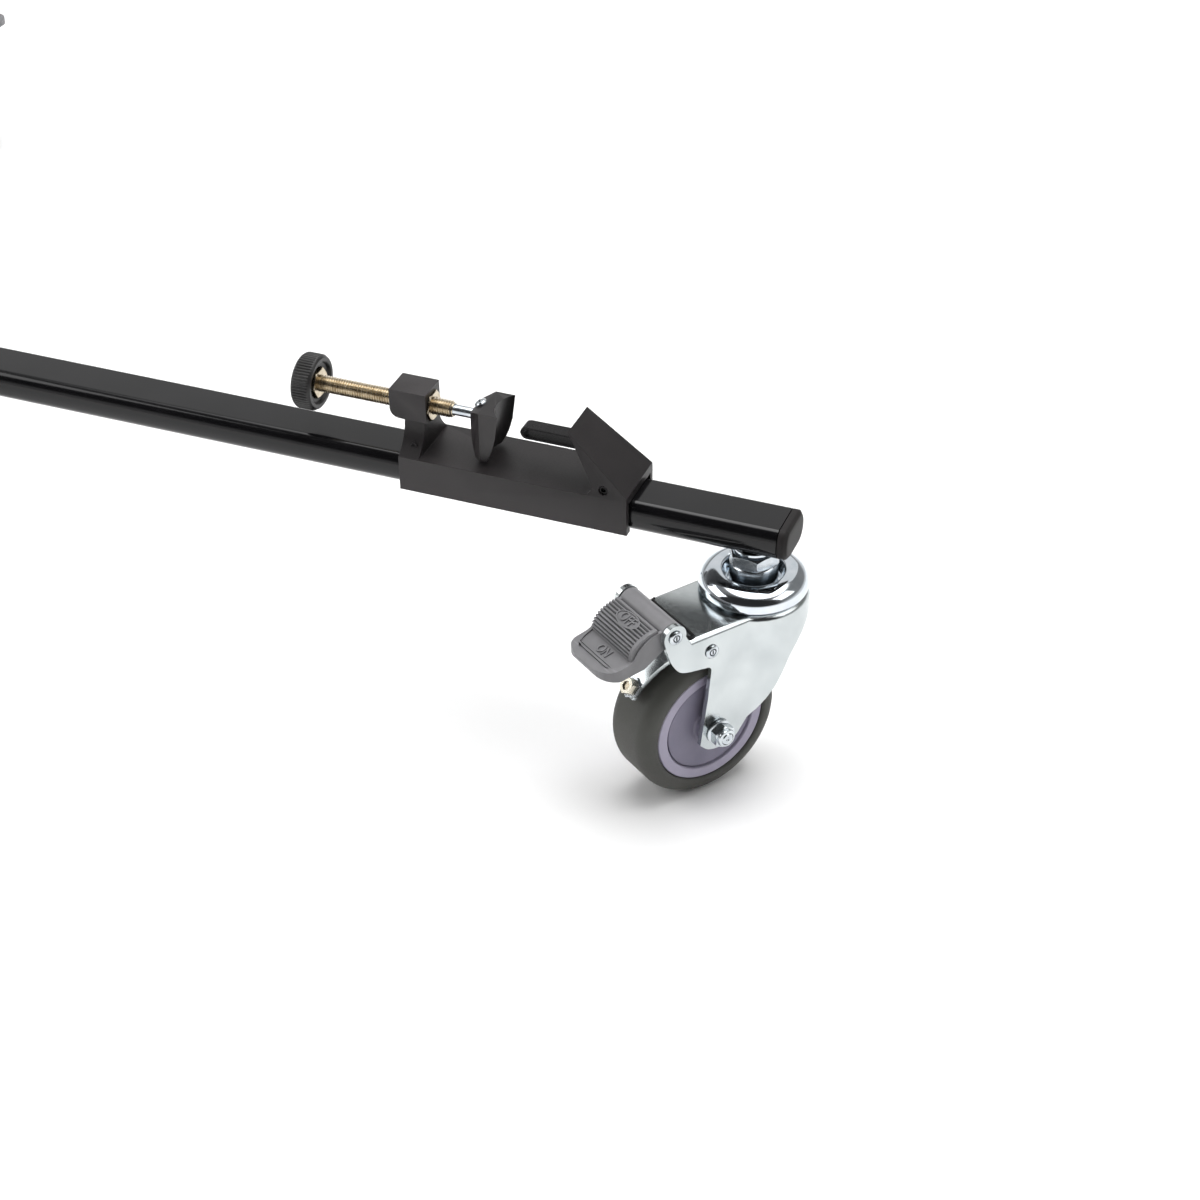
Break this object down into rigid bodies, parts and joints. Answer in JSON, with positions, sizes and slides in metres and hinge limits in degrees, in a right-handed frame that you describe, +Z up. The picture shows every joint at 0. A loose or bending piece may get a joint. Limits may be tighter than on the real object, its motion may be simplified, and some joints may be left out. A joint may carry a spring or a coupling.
{
  "type": "tripod dolly",
  "caption": "Folding tripod dolly: arms with sliding screw clamps for the tripod's feet, on swivel casters with pedal brakes.",
  "frame": {"origin": "centre of the flat underside of the hub, on the hub's axis", "axes": "+X along the fixed arm, +Y along the widest span of the open dolly, +Z up, square to the hub plates"},
  "size_m": [0.8255, 0.918, 0.1681],
  "materials": {
    "black_anodised": "gloss black anodised",
    "black_plastic": "satin black, lightly grained",
    "black_steel": "black oxide",
    "zinc_steel": "bright zinc plate",
    "polished_zinc": "polished zinc plate",
    "yellow_zinc": "yellow zinc plate",
    "grey_plastic": "satin mid grey",
    "wheel_plastic": "satin grey violet",
    "tyre_rubber": "matte dark grey rubber"
  },
  "bodies": {
    "frame": {"hub_lower_plate": "black_steel", "hub_upper_plate": "black_steel", "arm_tube_1": "black_anodised", "arm_end_cap_1": "black_plastic", "caster_stem_1": "zinc_steel", "swivel_cap_1": "polished_zinc"},
    "hub_knob": {"hub_knob": "black_plastic"},
    "clamp_1": {"clamp_body_1": "black_plastic", "clamp_nut_1": "yellow_zinc", "lever_pin_1": "black_steel"},
    "jaw_1": {"clamp_jaw_1": "black_plastic"},
    "screw_1": {"clamp_screw_1": "yellow_zinc", "clamp_knob_1": "black_plastic"},
    "lock_lever_1": {"lock_lever_1": "black_steel"},
    "swivel_1": {"fork_1": "zinc_steel", "axle_bolt_1": "zinc_steel", "axle_nut_1": "zinc_steel", "brake_pin_1": "zinc_steel"},
    "wheel_1": {"wheel_core_1": "wheel_plastic", "tyre_1": "tyre_rubber"},
    "brake_pedal_1": {"brake_pedal_1": "grey_plastic"},
    "brake_plate_1": {"brake_plate_1": "zinc_steel"},
    "arm_2": {"arm_tube_2": "black_anodised", "arm_end_cap_2": "black_plastic", "caster_stem_2": "zinc_steel", "swivel_cap_2": "polished_zinc"},
    "clamp_2": {"clamp_body_2": "black_plastic", "clamp_nut_2": "yellow_zinc", "lever_pin_2": "black_steel"},
    "jaw_2": {"clamp_jaw_2": "black_plastic"},
    "screw_2": {"clamp_screw_2": "yellow_zinc", "clamp_knob_2": "black_plastic"},
    "lock_lever_2": {"lock_lever_2": "black_steel"},
    "swivel_2": {"fork_2": "zinc_steel", "axle_bolt_2": "zinc_steel", "axle_nut_2": "zinc_steel", "brake_pin_2": "zinc_steel"},
    "wheel_2": {"wheel_core_2": "wheel_plastic", "tyre_2": "tyre_rubber"},
    "brake_pedal_2": {"brake_pedal_2": "grey_plastic"},
    "brake_plate_2": {"brake_plate_2": "zinc_steel"},
    "arm_3": {"arm_tube_3": "black_anodised", "arm_end_cap_3": "black_plastic", "caster_stem_3": "zinc_steel", "swivel_cap_3": "polished_zinc"},
    "clamp_3": {"clamp_body_3": "black_plastic", "clamp_nut_3": "yellow_zinc", "lever_pin_3": "black_steel"},
    "jaw_3": {"clamp_jaw_3": "black_plastic"},
    "screw_3": {"clamp_screw_3": "yellow_zinc", "clamp_knob_3": "black_plastic"},
    "lock_lever_3": {"lock_lever_3": "black_steel"},
    "swivel_3": {"fork_3": "zinc_steel", "axle_bolt_3": "zinc_steel", "axle_nut_3": "zinc_steel", "brake_pin_3": "zinc_steel"},
    "wheel_3": {"wheel_core_3": "wheel_plastic", "tyre_3": "tyre_rubber"},
    "brake_pedal_3": {"brake_pedal_3": "grey_plastic"},
    "brake_plate_3": {"brake_plate_3": "zinc_steel"}
  },
  "joints": [
    {"name": "hub_knob_turn", "type": "hinge", "parent": "frame", "child": "hub_knob", "pos_m": [0, 0, 0.03], "axis": [0, 0, 1], "range_deg": [0, 270]},
    {"name": "clamp_slide_1", "type": "slide", "parent": "frame", "child": "clamp_1", "axis": [1, 0, 0], "range_m": [-0.17, 0.03]},
    {"name": "jaw_slide_1", "type": "slide", "parent": "clamp_1", "child": "jaw_1", "axis": [1, 0, 0], "range_m": [-0.014, 0.006]},
    {"name": "screw_spin_1", "type": "hinge", "parent": "jaw_1", "child": "screw_1", "pos_m": [0.39, 0, 0.0429], "axis": [1, 0, 0], "range_deg": [-4032, 1728]},
    {"name": "lock_lever_press_1", "type": "hinge", "parent": "clamp_1", "child": "lock_lever_1", "pos_m": [0.4342, 0, 0.0266], "axis": [0, -1, 0], "range_deg": [0, 16], "stiffness_Nm_per_rad": 0.3, "springref_deg": -9.74},
    {"name": "caster_swivel_1", "type": "hinge", "parent": "frame", "child": "swivel_1", "pos_m": [0.5, 0, -0.014], "axis": [0, 0, 1], "continuous": true},
    {"name": "wheel_spin_1", "type": "hinge", "parent": "swivel_1", "child": "wheel_1", "pos_m": [0.4813, -0.0267, -0.0745], "axis": [0.8192, -0.5736, 0], "continuous": true},
    {"name": "brake_pedal_press_1", "type": "hinge", "parent": "swivel_1", "child": "brake_pedal_1", "pos_m": [0.46771, -0.04612, -0.0128], "axis": [0.8192, -0.5736, 0], "range_deg": [0, 25]},
    {"name": "brake_plate_bite_1", "type": "hinge", "parent": "swivel_1", "child": "brake_plate_1", "pos_m": [0.47895, -0.03006, -0.0283], "axis": [0.8192, -0.5736, 0], "range_deg": [0, 2.05]},
    {"name": "arm_fold_2", "type": "hinge", "parent": "frame", "child": "arm_2", "pos_m": [-0.02, 0.03464, 0.0123], "axis": [0, 0, -1], "range_deg": [0, 100]},
    {"name": "clamp_slide_2", "type": "slide", "parent": "arm_2", "child": "clamp_2", "axis": [-0.5, 0.866, 0], "range_m": [-0.17, 0.03]},
    {"name": "jaw_slide_2", "type": "slide", "parent": "clamp_2", "child": "jaw_2", "axis": [-0.5, 0.866, 0], "range_m": [-0.014, 0.006]},
    {"name": "screw_spin_2", "type": "hinge", "parent": "jaw_2", "child": "screw_2", "pos_m": [-0.195, 0.33775, 0.0429], "axis": [-0.5, 0.866, 0], "range_deg": [-4032, 1728]},
    {"name": "lock_lever_press_2", "type": "hinge", "parent": "clamp_2", "child": "lock_lever_2", "pos_m": [-0.2171, 0.37603, 0.0266], "axis": [0.866, 0.5, 0], "range_deg": [0, 16], "stiffness_Nm_per_rad": 0.3, "springref_deg": -9.74},
    {"name": "caster_swivel_2", "type": "hinge", "parent": "arm_2", "child": "swivel_2", "pos_m": [-0.25, 0.43301, -0.014], "axis": [0, 0, 1], "continuous": true},
    {"name": "wheel_spin_2", "type": "hinge", "parent": "swivel_2", "child": "wheel_2", "pos_m": [-0.21752, 0.43017, -0.0745], "axis": [0.0872, 0.9962, 0], "continuous": true},
    {"name": "brake_pedal_press_2", "type": "hinge", "parent": "swivel_2", "child": "brake_pedal_2", "pos_m": [-0.19391, 0.42811, -0.0128], "axis": [0.0872, 0.9962, 0], "range_deg": [0, 25]},
    {"name": "brake_plate_bite_2", "type": "hinge", "parent": "swivel_2", "child": "brake_plate_2", "pos_m": [-0.21344, 0.42981, -0.0283], "axis": [0.0872, 0.9962, 0], "range_deg": [0, 2.05]},
    {"name": "arm_fold_3", "type": "hinge", "parent": "frame", "child": "arm_3", "pos_m": [-0.02, -0.03464, 0.0123], "axis": [0, 0, 1], "range_deg": [0, 100]},
    {"name": "clamp_slide_3", "type": "slide", "parent": "arm_3", "child": "clamp_3", "axis": [-0.5, -0.866, 0], "range_m": [-0.17, 0.03]},
    {"name": "jaw_slide_3", "type": "slide", "parent": "clamp_3", "child": "jaw_3", "axis": [-0.5, -0.866, 0], "range_m": [-0.014, 0.006]},
    {"name": "screw_spin_3", "type": "hinge", "parent": "jaw_3", "child": "screw_3", "pos_m": [-0.195, -0.33775, 0.0429], "axis": [-0.5, -0.866, 0], "range_deg": [-4032, 1728]},
    {"name": "lock_lever_press_3", "type": "hinge", "parent": "clamp_3", "child": "lock_lever_3", "pos_m": [-0.2171, -0.37603, 0.0266], "axis": [-0.866, 0.5, 0], "range_deg": [0, 16], "stiffness_Nm_per_rad": 0.3, "springref_deg": -9.74},
    {"name": "caster_swivel_3", "type": "hinge", "parent": "arm_3", "child": "swivel_3", "pos_m": [-0.25, -0.43301, -0.014], "axis": [0, 0, 1], "continuous": true},
    {"name": "wheel_spin_3", "type": "hinge", "parent": "swivel_3", "child": "wheel_3", "pos_m": [-0.26378, -0.40347, -0.0745], "axis": [-0.9063, -0.4226, 0], "continuous": true},
    {"name": "brake_pedal_press_3", "type": "hinge", "parent": "swivel_3", "child": "brake_pedal_3", "pos_m": [-0.27379, -0.38199, -0.0128], "axis": [-0.9063, -0.4226, 0], "range_deg": [0, 25]},
    {"name": "brake_plate_bite_3", "type": "hinge", "parent": "swivel_3", "child": "brake_plate_3", "pos_m": [-0.26551, -0.39975, -0.0283], "axis": [-0.9063, -0.4226, 0], "range_deg": [0, 2.05]}
  ],
  "couplings": [
    {"joint": "jaw_slide_1", "follows": "screw_spin_1", "m_per_rad": 0.00019894},
    {"joint": "brake_plate_bite_1", "follows": "brake_pedal_press_1", "ratio": 0.082},
    {"joint": "jaw_slide_2", "follows": "screw_spin_2", "m_per_rad": 0.00019894},
    {"joint": "brake_plate_bite_2", "follows": "brake_pedal_press_2", "ratio": 0.082},
    {"joint": "jaw_slide_3", "follows": "screw_spin_3", "m_per_rad": 0.00019894},
    {"joint": "brake_plate_bite_3", "follows": "brake_pedal_press_3", "ratio": 0.082}
  ]
}
